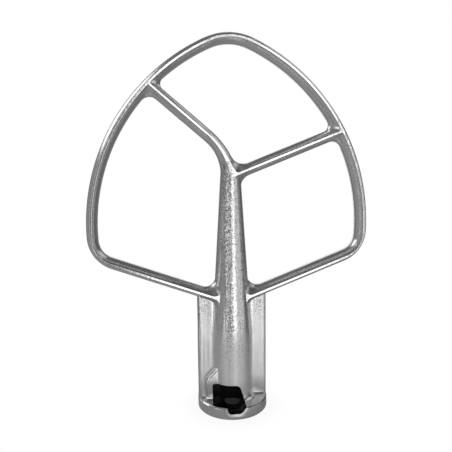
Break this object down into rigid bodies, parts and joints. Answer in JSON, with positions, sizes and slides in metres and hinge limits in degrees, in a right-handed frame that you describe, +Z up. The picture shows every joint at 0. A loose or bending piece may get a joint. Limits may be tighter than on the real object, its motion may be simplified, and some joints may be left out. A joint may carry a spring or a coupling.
{
  "type": "stand mixer beater",
  "caption": "Flat beater for a stand mixer: an open paddle frame with slanting arms on a tapered shaft, with a winged bayonet hub at its foot.",
  "frame": {"origin": "centre of the hub's mouth, in the plane of its end face", "axes": "+Z up the drive shaft's axis to the tip of the paddle, +X along the paddle's width, -Y towards the front with the bayonet window"},
  "size_m": [0.14, 0.0352, 0.1858],
  "materials": {
    "burnished_aluminium": "burnished casting"
  },
  "bodies": {
    "root": {"beater": "burnished_aluminium"}
  },
  "joints": []
}
